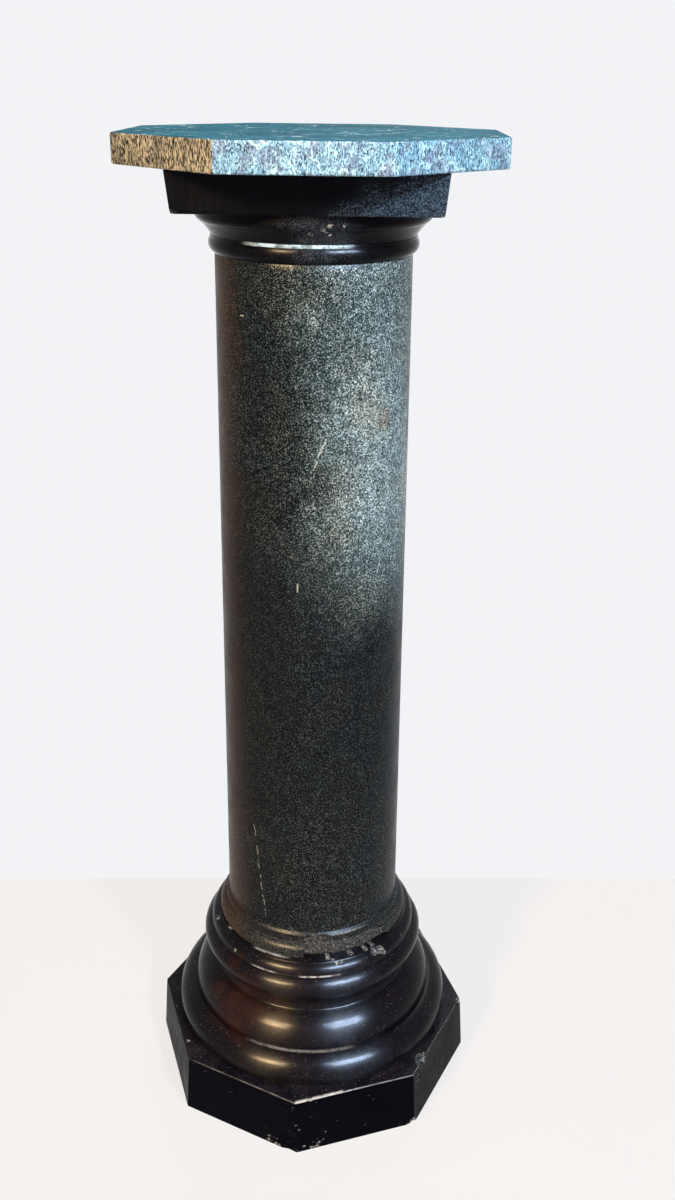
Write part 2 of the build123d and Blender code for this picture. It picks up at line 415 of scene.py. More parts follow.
# Pale veins on the shaft: both ends as azimuths and heights, the half width and the strength
shaft_veins = [
    ((232.3, 361.0), (234.1, 341.6), 0.0008, 0.5),
    ((234.1, 341.6), (236.5, 303.9), 0.001, 0.6),
    ((236.5, 303.9), (239.5, 267.1), 0.001, 0.6),
    ((239.5, 267.1), (241.7, 239.9), 0.0008, 0.5),
    ((263.8, 653.6), (263.8, 645.2), 0.0012, 0.7),
    ((281.7, 803.5), (276.7, 785.6), 0.0008, 0.9),
    ((276.7, 785.6), (271.6, 766.3), 0.001, 0.9),
    ((225.5, 905.9), (229.7, 906.3), 0.0009, 1.0),
    ((282.8, 936.1), (286.1, 936.1), 0.0009, 1.0),
    ((216.0, 284.0), (271.4, 305.9), 0.0005, 0.05),
    ((271.4, 305.9), (324.0, 289.7), 0.0005, 0.05),
]
# A painted cream highlight and a pinkish stain on the shaft's grains: azimuth, height, reach, strength and
# colour
shaft_highlight_and_stain = [
    (307.0, 818.0, 0.034, 0.6, (0.62, 0.6, 0.5)),
    (319.0, 810.0, 0.016, 0.6, (0.6, 0.34, 0.22)),
]
# A short dark mark: its ends and half width
shaft_mark = ((299.5, 841.0), (299.5, 834.0), 0.0014)


# Stones
def shaft_stone():
    """Dark serpentine with pale grains: a paler cloud high on its right that is partly painted light, and on
    its left dimmer grains as painted shade and a painted warm reflection.
    """
    s = Shader("shaft_marble")
    along = s.around(shaft_reach * MM)
    x, y, up = s.axes()
    grains = s.noise(820.0, 2.0, 0.6, 0.8)
    clots = s.noise(130.0, 2.0, 0.5)
    sway = s.range(s.noise(10.0, 4.0, 0.6, 0.3), 0.3, 0.7, -0.03, 0.03)

    # The pale cloud, between two azimuths and above a slanting lower edge: partly the stone's own tone,
    # partly painted light high on the side the key lamp faces
    swayed = s.plus(along, sway)
    across = s.times(s.range(swayed, -0.03, 0.058), s.range(swayed, 0.105, 0.19, 1.0, 0.0))
    lifted = s.range(s.minus(s.plus(up, s.times(x, 0.55)), sway), 0.582, 0.79)
    pale = s.times(across, lifted, s.range(clots, 0.3, 0.7, 0.85, 1.05), s.range(up, 0.8, 0.92, 1.0, 0.62))

    # The grains and how bright they are
    shown = s.range(s.minus(grains, s.minus(0.575, s.times(pale, 0.05))), -0.008, 0.014)
    glint = s.plus(s.times(lifted, 0.11), s.times(pale, 0.6), s.range(up, 0.45, 0.3, 0.085, 0.13))
    glint = s.times(glint, s.range(clots, 0.25, 0.75, 0.72, 1.25))
    # Grains dimmed on the left: painted shade on the side away from the key lamp
    glint = s.times(glint, s.range(s.plus(x, sway), -0.083, 0.0, 0.45, 1.0))
    tint = s.ramp(
        s.noise(19.0, 2.0, 0.5),
        (0.36, (0.78, 0.96, 1.02)),
        (0.48, (0.85, 0.98, 0.99)),
        (0.62, (0.92, 0.99, 0.93)),
    )
    ground = s.mix(lifted, (0.004, 0.0042, 0.006), (0.0015, 0.003, 0.004))
    ground = s.mix(pale, ground, (0.05, 0.085, 0.093))
    colour = s.mix(shown, ground, s.shade(tint, glint))
    specks = s.range(s.noise(760.0, 2.0, 0.6, 0.3, s.stretched(1.0, 1.0, 0.8)), 0.575, 0.61)
    colour = s.mix(specks, colour, (0.0015, 0.004, 0.006))

    # A painted warm reflection down the left limb: the colour made browner, with a little warm light added
    warm_reflection = s.times(s.range(s.plus(x, s.times(sway, 0.2)), -0.058, -0.086), s.range(y, 0.065, -0.015))
    colour = s.mix(warm_reflection, colour, s.mix(1.0, colour, (1.3, 0.85, 0.55), "MULTIPLY"))
    warm_reflection_colour = s.mix(1.0, colour, (0.03, 0.012, 0.004), "ADD")
    colour = s.mix(s.times(warm_reflection, 0.5), colour, warm_reflection_colour)

    # Veins, a painted cream highlight, a stain and a mark on the unrolled surface
    wander = s.range(s.noise(70.0, 2.0, 0.5), 0.2, 0.8, -0.0012, 0.0012)
    place = s.node("ShaderNodeCombineXYZ", {0: s.plus(along, wander), 1: up}).outputs[0]
    gaps = s.range(s.noise(160.0, 1.0, 0.5), 0.4, 0.52)
    for start, end, half_width, strength in shaft_veins:
        line = s.times(s.segment(place, start, end, half_width), gaps, strength)
        colour = s.mix(line, colour, (0.62, 0.6, 0.55))
    for azimuth, height, reach, strength, spot_colour in shaft_highlight_and_stain:
        gap = s.vector("DISTANCE", place, girth(azimuth, height))
        spot = s.range(gap, reach * 0.15, reach, strength, 0.0)
        colour = s.mix(s.times(spot, shown), colour, spot_colour)
    colour = s.mix(s.segment(place, *shaft_mark), colour, (0.003, 0.006, 0.008))

    # The granular foot, its broken wall and the fillet painted pale for wear and a highlight
    granular = s.times(s.range(up, 0.212, 0.236, 0.5, 0.0), s.range(s.noise(620.0), 0.48, 0.6))
    colour = s.mix(granular, colour, (0.12, 0.11, 0.095))
    broken = s.attribute("broken")
    rubble = s.rubble(
        (0.4, (0.005, 0.005, 0.005)), (0.52, (0.045, 0.04, 0.036)), (0.64, (0.19, 0.175, 0.155))
    )
    colour = s.mix(s.times(broken, 0.85), colour, rubble)
    paleness = s.range(s.noise(160.0), 0.35, 0.6, 0.2, 1.0)
    colour = s.mix(s.times(s.attribute("wear_and_highlight"), paleness), colour, (0.4, 0.42, 0.44))
    rough = s.range(s.noise(35.0), 0.3, 0.7, 0.27, 0.38)
    s.set(Base_Color=colour, IOR=1.13, Roughness=s.plus(rough, s.times(broken, 0.35)))
    s.bump(s.plus(s.times(grains, 0.2), s.times(broken, s.noise(600.0))), 0.0004)
    return s.material


def dark_stone(
    name, low, high, flecks, gloss, polish, stain_and_lit_patch=None, turned=0.0, wax=None, pale_arris=(0.66, 0.62, 0.61)
):
    """Near-black marble, clouded between the tones low and high.

    Flecks are their colour, share and scale, gloss is the IOR and specular level, polish the least
    and most roughness, turned the anisotropy of lathe work, wax the IOR and roughness of a coat, and
    the last the colour of pale arrises, which are worn and also painted highlights. A patch is an
    area of another colour: a real stain on the base, and painted light on the capital's neck and
    abacus. It gives its centre, the distances at which it is full and gone, its colour, and how
    far the flecks are kept to it.
    """
    s = Shader(name)
    cloud = s.noise(22.0, 5.0, 0.62, 0.6)
    fine = s.noise(330.0, 3.0, 0.6, 0.4)
    blend = s.plus(s.times(cloud, 0.55), s.times(fine, 0.45))
    colour = s.ramp(blend, (0.42, low), (0.6, high))
    fleck_colour, share, scale = flecks
    where = s.range(s.noise(30.0, 2.0, 0.5), 0.35, 0.65, 0.03, -0.01)
    if stain_and_lit_patch:
        centre, inner, outer, stain_and_lit_colour, kept_flecks = stain_and_lit_patch
        ragged = s.range(cloud, 0.3, 0.7, 0.4 * (inner - outer), 0.4 * (outer - inner))
        gap = s.plus(s.vector("DISTANCE", s.place, centre), ragged)
        near = s.range(gap, inner, outer, 1.0, 0.0)
        colour = s.mix(near, colour, stain_and_lit_colour)
        where = s.plus(where, s.times(s.minus(near, 1.0), kept_flecks))
    specks = s.range(s.plus(s.noise(scale, 2.0, 0.6, 0.6), where), 0.74 - share, 0.8 - share)
    colour = s.mix(specks, colour, fleck_colour)
    broken = s.attribute("broken")
    rubble = s.rubble((0.38, (0.012, 0.012, 0.013)), (0.48, (0.13, 0.13, 0.125)), (0.58, (0.65, 0.64, 0.62)))
    colour = s.mix(broken, colour, rubble)
    paleness = s.range(s.noise(120.0), 0.35, 0.55, 0.3, 1.0)
    colour = s.mix(s.times(s.attribute("wear_and_highlight"), paleness), colour, pale_arris)
    s.set(Base_Color=colour, IOR=gloss[0], Specular_IOR_Level=gloss[1])
    streaks = s.noise(260.0, 3.0, 0.6, 0.0, s.stretched(1.0, 1.0, 0.12))
    smears = s.plus(s.times(s.noise(28.0, 4.0, 0.65), 0.6), s.times(streaks, 0.4))
    rough = s.range(smears, 0.35, 0.65, *polish)
    s.set(Roughness=s.plus(rough, s.times(broken, 0.45)))
    if wax:
        s.set(Coat_Weight=1.0, Coat_IOR=wax[0], Coat_Roughness=wax[1])
    if turned:
        tangent = s.node("ShaderNodeTangent", axis="Z").outputs[0]
        s.set(Anisotropic=turned, Anisotropic_Rotation=0.25, Tangent=tangent)
    s.bump(s.plus(s.times(fine, 0.1), s.times(broken, fine)), 0.0005)
    return s.material


def slab_edge_stone():
    """The slab's sawn sides: icy grey-blue veined with white, and gold-brown on the left, partly a stain and
    partly painted warm light.
    """
    s = Shader("slab_edge_marble")
    x, y, _ = s.axes()
    tall = s.stretched(1.0, 1.0, 0.4)
    fine = s.noise(860.0, 2.0, 0.6, 0.4, tall)
    wide = s.noise(170.0, 3.0, 0.6, 0.4, tall)
    grain = s.plus(s.times(fine, 0.8), s.times(wide, 0.2))
    ice = s.ramp(
        grain,
        (0.4, (0.006, 0.03, 0.06)),
        (0.445, (0.12, 0.22, 0.32)),
        (0.52, (0.18, 0.35, 0.48)),
        (0.58, (0.35, 0.61, 0.76)),
    )
    lavender = s.ramp(
        grain,
        (0.42, (0.07, 0.1, 0.17)),
        (0.5, (0.17, 0.23, 0.34)),
        (0.6, (0.3, 0.4, 0.53)),
    )
    ice = s.mix(s.range(s.noise(60.0, 2.0, 0.5, 0.6), 0.52, 0.57, 0.0, 0.85), ice, lavender)
    pits = s.range(s.noise(1050.0, 1.0, 0.5, 0.0, s.stretched(1.0, 1.0, 0.6)), 0.58, 0.61)
    pits = s.times(pits, s.range(s.noise(100.0, 2.0, 0.6), 0.4, 0.6, 0.3, 1.0))
    ice = s.mix(pits, ice, (0.004, 0.016, 0.03))
    gold = s.ramp(
        s.noise(800.0, 2.0, 0.65, 0.4, s.stretched(1.0, 1.0, 0.3)),
        (0.43, (0.0015, 0.0015, 0.001)),
        (0.475, (0.05, 0.04, 0.025)),
        (0.515, (0.3, 0.25, 0.16)),
        (0.58, (0.68, 0.6, 0.43)),
    )
    gold = s.mix(s.range(s.noise(45.0, 2.0, 0.5, 0.4, tall), 0.5, 0.6, 0.0, 0.4), gold, (0.012, 0.01, 0.007))
    shaken = s.shaken(tall, 140.0, 0.004)
    crackle = s.range(s.seams(230.0, shaken), 0.0, 0.07, 1.0, 0.0)
    crackle = s.times(crackle, s.range(s.noise(90.0, 2.0, 0.6), 0.42, 0.56))
    veins = s.range(s.seams(58.0, shaken), 0.0, 0.04, 1.0, 0.0)
    veins = s.times(veins, s.range(s.noise(70.0), 0.45, 0.55))
    lines = s.math("MAXIMUM", s.times(crackle, 0.9), veins)
    ice = s.mix(lines, ice, (0.6, 0.86, 0.93))
    gold = s.mix(s.times(lines, 0.6), gold, (0.55, 0.5, 0.38))
    # The left side's gold-brown: partly a stain, partly painted warm light
    azimuth = s.math("ARCTAN2", y, x)
    left_azimuth = radians(-135.0)
    off_left = s.math("ABSOLUTE", s.minus(azimuth, left_azimuth))
    stained_and_warm_lit = s.math("LESS_THAN", off_left, radians(side_angle / 2))
    s.set(Base_Color=s.mix(stained_and_warm_lit, ice, gold), Specular_IOR_Level=0.12, Roughness=0.45)
    s.bump(s.minus(grain, s.times(lines, 0.1)), 0.0005)
    return s.material


def slab_top_stone():
    """The slab's top: deep teal with white flecks that run across it."""
    s = Shader("slab_top_marble")
    cloud = s.noise(16.0, 4.0, 0.6)
    fine = s.noise(170.0, 4.0, 0.65)
    colour = s.ramp(cloud, (0.35, (0.004, 0.083, 0.138)), (0.65, (0.011, 0.158, 0.24)))
    colour = s.mix(s.range(fine, 0.45, 0.65, 0.0, 0.25), colour, (0.14, 0.36, 0.42))
    flecks = s.range(s.noise(90.0, 5.0, 0.75, 0.5, s.stretched(0.6, 1.4, 1.0)), 0.62, 0.68)
    veins = s.seams(15.0, s.shaken(s.place, 35.0, 0.022))
    vein_width = s.range(s.noise(80.0, 2.0, 0.6), 0.35, 0.65, 0.006, 0.03)
    veins = s.range(veins, 0.0, vein_width, 1.0, 0.0)
    veins = s.times(veins, s.range(s.noise(48.0, 3.0, 0.65), 0.46, 0.58))
    colour = s.mix(s.math("MAXIMUM", flecks, veins), colour, (0.72, 0.83, 0.85))
    s.set(Base_Color=colour, Specular_IOR_Level=0.01, Roughness=0.6)
    s.bump(fine, 0.0002)
    return s.material


def dowel_iron():
    """Rough wrought iron, browned."""
    s = Shader("dowel_iron")
    scale = s.noise(120.0, 4.0, 0.65)
    s.set(Base_Color=s.ramp(scale, (0.35, (0.03, 0.026, 0.024)), (0.65, (0.14, 0.07, 0.04))))
    s.set(Metallic=0.6, Roughness=s.range(scale, 0.3, 0.7, 0.5, 0.85))
    s.bump(scale, 0.0004)
    return s.material


# How many rings a bed has, and the first ring's reach on a bed without a socket
bed_rings = 6
bed_middle = 10.0


def close_block(piece, outside, lower, upper):
    """Rounds off a piece: the lower socket and bed, the outside and the upper bed and socket."""
    if lower:
        radius, floor = lower
        piece.ring(0.0, floor)
        piece.ring(radius, floor)
        piece.ring(radius, outside[0][1])
    else:
        piece.ring(0.0, outside[0][1])
        piece.ring(bed_middle, outside[0][1])
    piece.face(outside[0][0], bed_rings)
    for reach, height in outside[1:]:
        piece.ring(reach, height)
    if upper:
        radius, floor = upper
        piece.face(radius, bed_rings)
        piece.ring(radius, floor)
        piece.ring(0.0, floor)
    else:
        piece.face(bed_middle, bed_rings)
        piece.ring(0.0, outside[-1][1])
    piece.close()


# Plinth
plinth_foot = 346.0 / 2
plinth_head = 337.0 / 2
# How far it is turned against the slab, in degrees
plinth_turn = 19.6
plinth_corner = 2.0
plinth_arris = 1.6
# How pale the upper arris is, by azimuth: wear, and painted highlights, palest just right of the front
# corner
arris_wear_and_highlight = (
    [0.0, 222.0, 232.0, 266.5, 267.5, 283.0, 292.0, 312.0, 356.0],
    [0.0, 0.0, 0.12, 0.2, 1.0, 1.0, 0.3, 0.2, 0.12],
)
# Small pale chips: azimuth, distance from the axis, height and radius
plinth_chips = [
    (267.5, 184.0, 38.5, 1.8),
    (268.8, 182.9, 31.5, 1.6),
    (272.6, 174.0, 69.5, 1.9),
    (276.7, 176.6, 16.4, 1.5),
    (277.9, 175.6, 19.8, 1.2),
    (270.4, 182.3, 6.8, 1.6),
    (273.0, 179.8, 3.2, 1.5),
    (205.1, 169.8, 64.0, 1.4),
    (214.3, 168.0, 69.0, 1.4),
    (356.4, 181.0, 66.0, 2.0),
]


def make_plinth():
    """Octagonal plinth with battered sides, chipped at its front corner and its right edge."""
    turn = 270.0 - side_angle / 2 + plinth_turn
    corners = [turn + side_angle * k for k in range(8)]
    azimuths = azimuth_steps(1.0, 0.4, (252.0, 338.0), corners, 0.06, 0.3)

    def side(apothem):
        return polygon_reach(azimuths, 8, turn + side_angle / 2, apothem, plinth_corner)

    def flare(height):
        share = (height - plinth_bed) / (base_bed - plinth_bed)
        return plinth_foot * (1 - share) + plinth_head * share

    heights = np.arange(plinth_bed + 1.0, base_bed - plinth_arris, 1.0)
    outside = [(side(plinth_foot - 0.5), plinth_bed), (side(plinth_foot - 0.1), plinth_bed + 0.4)]
    outside += [(side(flare(height)), height) for height in heights]
    shoulder = base_bed - plinth_arris
    for angle in np.linspace(0.0, pi / 2, 6):
        inset = plinth_arris * (1 - cos(angle))
        outside.append((side(flare(shoulder) - inset), shoulder + plinth_arris * sin(angle)))
    for inset in (2.5, 4.0, 6.0, 9.0, 13.0, 20.0, 30.0):
        outside.append((side(flare(shoulder) - plinth_arris - inset), base_bed))
    plinth = Piece(azimuths)
    close_block(plinth, outside, None, dowel_socket("base_dowel", 0))
    # A broad shallow dent just left of the front corner
    front, front_right, right = turn, turn + side_angle, turn + 2 * side_angle
    off_corner = 5.0
    dent_reach = plinth_foot / cos(radians(side_angle / 2 - off_corner))
    plinth.spall(at(front - off_corner, dent_reach + 44.5, 14.0), 47.0, 0.4, 0.2, 0.0, ripple=0.3)

    # Larger breaks: azimuth, distance from the axis, height, radius, roughness, grain and strength
    foot_corner = plinth_foot / cos(pi / 8)
    head_corner = plinth_head / cos(pi / 8)
    breaks = [
        (front, foot_corner + 10.0, 36.0, 11.0, 0.6, 0.4, 0.15),
        (front + 2.5, foot_corner + 9.0, 3.0, 11.0, 0.8, 0.4, 0.2),
        (front_right, foot_corner + 2.6, 2.0, 7.4, 0.9, 0.4, 0.8),
        (front_right - 2.2, foot_corner + 1.0, -1.0, 5.0, 0.8, 0.5, 0.6),
        (front_right + 8.6, 178.5, base_bed + 3.0, 13.5, 1.6, 0.3, 0.25),
        (front_right + 4.5, 183.5, base_bed - 16.0, 8.0, 1.0, 0.4, 0.15),
        (right - 0.8, head_corner + 2.5, base_bed, 6.5, 0.9, 0.4, 0.85),
    ]
    for azimuth, distance, height, radius, roughness, grain, strength in breaks:
        plinth.spall(at(azimuth, distance, height), radius, roughness, grain, strength)
    for azimuth, distance, height, radius in plinth_chips:
        plinth.chip(azimuth, distance, height, radius, radius * 0.25, 0.3, 0.9, 1.0)

    # Crumbs along the front corner, and chips along the upper arrises seen from the front
    luck = Random(4)
    for _ in range(60):
        azimuth = luck.uniform(256.0, 277.5)
        swing = abs(azimuth - front)
        distance = plinth_foot / cos(radians(side_angle / 2 - swing))
        radius = luck.uniform(1.4, 2.8)
        height = luck.uniform(0.5, 20.0) * luck.uniform(0.3, 1.0)
        strength = luck.uniform(0.5, 1.0)
        plinth.chip(azimuth, distance, height, radius, radius * 0.3, 0.3, 0.9, strength)
    for start in (turn - side_angle, turn, turn + side_angle):
        a, b = at(start, head_corner, base_bed), at(start + side_angle, head_corner, base_bed)
        outwards = at(start + side_angle / 2, 1.0, 0.5)
        for _ in range(7):
            radius = luck.uniform(1.2, 2.6)
            depth = luck.uniform(0.4, 0.8)
            middle = a + (b - a) * luck.random() + outwards * (radius - depth)
            plinth.spall(middle, radius, 0.3, 0.9, 0.5)

    # Pale arrises, for wear and painted highlights, the upper one broader where it is palest
    height, reach = plinth.points[:, :, 2], plinth.reach()
    palest = (azimuths > radians(267.0)) & (azimuths < radians(285.0))
    band = np.where(palest, 1.1, 0.7)
    at_arris = (np.abs(height - base_bed) < band) & (reach > side(plinth_head) - 0.7 - band)
    plinth.wear_and_highlight[:] = at_arris * np.interp(np.degrees(azimuths), *arris_wear_and_highlight)
    plinth.wear_and_highlight[(height < plinth_bed + 0.7) & (reach > side(plinth_foot) - 0.9)] = 0.05
    stones = [plinth_side, plinth_top]
    piece = plinth.mesh("plinth_stone", stones, above(base_bed - 8.0, 0.6))
    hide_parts("plinth")


# Base: how far its mouldings end above its bed
lower_torus_top = 34.5
quirk_top = 35.7
cushion_top = 69.0
scotia_foot = 70.6
scotia_top = 92.5
upper_torus_top = 118.5
groove_top = 120.0
listel_top = 122.0
bead_top = 133.3
cap_foot = 134.1
cap_top = 139.0
# The upper torus' reach, and the flake off it: the azimuth that it faces and its depth
upper_torus_reach = 128.7
flake_azimuth = 21.0
flake_depth = 5.3


def base_profile():
    """The base's turned outline from its bed up to the shaft's."""
    line = [(155.0, 0.0)]
    line += arc(line[-1], (139.5, lower_torus_top), 12.8)
    line += [(137.5, lower_torus_top), (137.5, quirk_top), (139.5, quirk_top)]
    line += arc(line[-1], (119.0, cushion_top), 6.5)
    line += [(114.4, scotia_foot)]
    line += arc(line[-1], (118.0, scotia_top), -2.8)
    line += arc(line[-1], (119.5, upper_torus_top), 9.2)
    line += [(118.2, upper_torus_top), (118.2, groove_top), (119.0, groove_top), (119.0, listel_top)]
    line += [(118.35, listel_top)]
    line += arc(line[-1], (111.5, bead_top), 2.8)
    line += [(110.0, cap_foot), (110.7, cap_top)]
    return stood(line, base_bed)


# Chips: azimuth, distance from the axis, height, radius, depth and how pale
base_chips = [
    (282.0, 109.8, 208.9, 3.0, 0.6, 0.6),
    (284.6, 110.3, 206.0, 3.4, 0.6, 1.0),
    (287.2, 111.2, 204.4, 3.2, 0.5, 1.0),
    (290.0, 111.4, 203.9, 2.6, 0.4, 0.8),
    (296.0, 110.7, 208.9, 6.0, 1.2, 0.3),
    (306.0, 110.7, 208.5, 6.0, 1.0, 0.6),
    (311.0, 110.5, 206.0, 7.0, 0.9, 0.3),
    (314.5, 111.0, 203.4, 6.0, 0.7, 0.3),
    (316.6, 117.4, 198.0, 4.0, 0.6, 0.5),
    (197.7, 113.1, 202.1, 2.6, 1.0, 1.0),
    (213.6, 107.3, 209.0, 2.6, 0.8, 0.9),
    (225.1, 118.2, 196.1, 2.6, 0.9, 1.0),
]


# Painted highlights on thin arrises: rise above the bed, half width, least reach, and the strength by
# azimuth
base_highlights = [
    (cap_top, 1.0, 105.0, ([236.0, 240.0, 256.0, 260.0], [0.0, 0.6, 0.6, 0.0])),
    (listel_top - 0.4, 1.0, 116.0, ([237.0, 241.0, 250.0, 254.0], [0.0, 0.6, 0.6, 0.0])),
    (listel_top - 0.4, 1.0, 116.0, ([265.0, 269.0, 284.0, 289.0], [0.0, 0.9, 0.9, 0.0])),
    (quirk_top - 0.5, 0.8, 136.0, ([240.0, 250.0, 286.0, 294.0], [0.0, 0.3, 0.3, 0.0])),
]


def make_base():
    """The turned base, with a flat flake off its upper torus and small chips on its cap."""
    azimuths = azimuth_steps(1.5, 0.6, (262.0, 334.0))
    outside = worn(subdivide(base_profile(), 1.1))
    base = Piece(azimuths)
    lower, upper = dowel_socket("base_dowel", 1), dowel_socket("shaft_dowel", 0)
    close_block(base, outside, lower, upper)

    for azimuth, distance, height, radius, depth, strength in base_chips:
        base.chip(azimuth, distance, height, radius, depth, 0.4, 0.6, strength)
    facing = at(flake_azimuth, 1.0, 0.0)
    outward = base.points @ facing
    rise = base.points[:, :, 2] - base_bed
    limit = upper_torus_reach - flake_depth
    hit = (outward > limit) & (rise > scotia_top - 0.5) & (rise < upper_torus_top - 0.5)
    for i, j in np.argwhere(hit):
        rough = 0.5 * noise.noise(Vector(base.points[i, j]) * 0.22)
        base.points[i, j] -= facing * (outward[i, j] - limit - rough)
        base.broken[i, j] = 0.3
    # The thin arrises painted pale as highlights
    for middle, half, least, paleness in base_highlights:
        base.pale_arris(middle, half, least, paleness)
    piece = base.mesh("base_stone", [base_stone])
    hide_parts("base")


# Shaft: the reaches and rises of its foot, and the drum's reach at both ends
foot_reach = 108.3
fillet_reach = 100.4
fillet_foot = 14.5
fillet_top = 23.3
foot_top = 27.0
drum_foot = 97.6
drum_head = 93.3


def shaft_profile():
    """The outline of the shaft's foot: arris, ovolo, fillet and flare."""
    line = [(foot_reach, 0.0), (foot_reach, 1.5)]
    line += arc(line[-1], (fillet_reach, fillet_foot), 2.6)
    line += [(fillet_reach, fillet_top), (drum_foot, foot_top)]
    return stood(line, shaft_bed)


# Where the break can be, how far up it goes and how far its wall runs out, by azimuth
break_span = (264.0, 331.0)
break_top = ([267.5, 269.0, 282.0, 286.0, 318.0, 326.0], [16.0, 25.0, 25.0, 15.5, 15.0, 6.0])
break_run = ([286.0, 294.0, 321.0, 326.0], [0.0, 0.8, 0.8, 3.8])
# The broken wall's reach by rise, and the least reach of what can break
break_wall = ([0.0, 2.5, 14.5, 25.0], [101.6, 103.0, 98.4, 96.4])
break_least = 90.0
# How pale the foot's fillet is, by azimuth: wear, and a painted highlight
foot_wear_and_highlight = ([284.0, 287.0, 300.0, 312.0], [0.0, 0.8, 0.6, 0.0])


def make_shaft():
    """The shaft, broken along the front of its foot."""
    azimuths = azimuth_steps(1.25, 0.36, (262.0, 334.0))
    foot = worn(subdivide(shaft_profile(), 0.7))
    drum = [(drum_foot, shaft_bed + foot_top), (drum_head, capital_bed)]
    rim = [(drum_head - 0.2, capital_bed - 0.4), (drum_head - 0.5, capital_bed)]
    outside = foot[:-1] + subdivide(drum, 9.0)[:-1] + rim
    shaft = Piece(azimuths)
    lower, upper = dowel_socket("shaft_dowel", 1), dowel_socket("capital_dowel", 0)
    close_block(shaft, outside, lower, upper)
    degrees = np.degrees(azimuths)
    for i, j in np.argwhere(shaft.points[:, :, 2] < shaft_bed + foot_top + 2.0):
        x, y, z = shaft.points[i, j]
        reach = sqrt(x * x + y * y)
        rise = z - shaft_bed
        if reach < break_least or not break_span[0] < degrees[j] < break_span[1]:
            continue
        place = Vector((x, y, z))
        rough = noise.noise(place * 0.16) + 0.6 * noise.noise(place * 0.45) + 0.3 * noise.noise(place * 1.1)
        azimuth = degrees[j] + 2.2 * noise.noise(Vector((7.0, 0.0, z * 0.22)))
        top = np.interp(azimuth, *break_top) + 2.0 * noise.noise(Vector((x * 0.12, 3.0, 0.0)))
        if not break_top[0][0] < azimuth < break_top[0][-1] or rise > top:
            continue
        limit = np.interp(rise, *break_wall) + np.interp(azimuth, *break_run) + 0.8 * rough
        if reach > limit:
            shaft.points[i, j, :2] *= limit / reach
            shaft.broken[i, j] = min(1.0, 0.5 + (reach - limit) / 3.0)
    # The fillet painted pale: wear, and a painted highlight
    shaft.pale_arris(fillet_top, 1.0, 96.0, foot_wear_and_highlight)
    shaft.wear_and_highlight *= 1.0 - shaft.broken
    piece = shaft.mesh("shaft_stone", [shaft_marble])
    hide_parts("shaft")


# Capital
abacus_foot = 232.0 / 2
abacus_head = 239.0 / 2
abacus_corner = 2.5
abacus_arris = 1.4
neck_height = 43.0
neck_fillet_foot = 14.3
neck_fillet_top = 16.4
neck_band = 111.2


def neck_profile():
    """The neck's turned outline: astragal, fillet, cavetto and band."""
    line = [(94.2, 0.0), (95.0, 0.8)]
    line += arc(line[-1], (97.0, neck_fillet_foot), 3.0)
    line += [(97.3, neck_fillet_foot), (97.3, neck_fillet_top), (96.6, neck_fillet_top)]
    line += arc(line[-1], (106.2, 28.2), -0.5)
    line += arc(line[-1], (neck_band, 33.8), 0.8)
    line += [(neck_band, neck_height)]
    return stood(line, capital_bed)


# How pale the neck's fillet is, by azimuth: wear, and a painted highlight
fillet_wear_and_highlight = ([232.0, 242.0, 286.0, 295.0], [0.0, 0.9, 1.0, 0.0])
# Small pale chips: azimuth, distance from the axis, height and radius
neck_chips = [
    (271.6, 104.3, 981.4, 2.4),
    (277.0, 108.6, 986.1, 2.0),
    (280.0, 110.9, 989.6, 2.6),
    (286.7, 111.1, 989.4, 2.2),
    (280.6, 103.6, 980.5, 1.8),
    (278.4, 106.0, 983.0, 1.6),
]


def make_capital():
    """The capital: a turned neck under a square abacus that narrows downwards."""
    corners = [45.0, 135.0, 225.0, 315.0]
    azimuths = azimuth_steps(1.2, 0.5, (255.0, 330.0), corners, 0.12, 0.84)
    z = capital_bed + neck_height

    def side(apothem):
        return polygon_reach(azimuths, 4, 0.0, apothem, abacus_corner)

    def flare(height):
        share = (height - z) / (slab_bed - z)
        return abacus_foot * (1 - share) + abacus_head * share

    capital = Piece(azimuths)
    outside = worn(subdivide(neck_profile(), 0.8))
    under = side(abacus_foot - abacus_arris)
    for share in (0.12, 0.3, 0.5, 0.7, 0.85, 0.95, 1.0):
        outside.append((neck_band * (1 - share) + under * share, z))
    for angle in np.linspace(0.0, pi / 2, 5)[1:]:
        inset = abacus_arris * (1 - sin(angle))
        outside.append((side(flare(z) - inset), z + abacus_arris * (1 - cos(angle))))
    for height in np.linspace(z + abacus_arris, slab_bed - abacus_arris, 24)[1:]:
        outside.append((side(flare(height)), height))
    for angle in np.linspace(0.0, pi / 2, 5)[1:]:
        inset = abacus_arris * (1 - cos(angle))
        height = slab_bed - abacus_arris * (1 - sin(angle))
        outside.append((side(flare(slab_bed) - inset), height))
    lower, upper = dowel_socket("capital_dowel", 1), dowel_socket("slab_dowel", 0)
    close_block(capital, outside, lower, upper)

    corner_reach = abacus_foot / cos(pi / 4)
    for azimuth in (225.0, 315.0):
        capital.spall(at(azimuth, corner_reach + 1.2, z - 0.5), 5.0, 0.5, 0.5, 0.15)
    for azimuth, distance, height, radius in neck_chips:
        capital.chip(azimuth, distance, height, radius, radius * 0.25, 0.4, 1.2, 1.0)
    # The fillet painted pale in a cool tone: wear, and a painted highlight
    capital.pale_arris(15.5, 1.6, 95.0, fillet_wear_and_highlight)
    stones = [capital_stone, abacus_stone]
    piece = capital.mesh("capital_stone", stones, above(z - 0.5))
    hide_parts("capital")


# Top slab
slab_apothem = 344.0 / 2
slab_corner = 4.0
slab_arris = 1.8


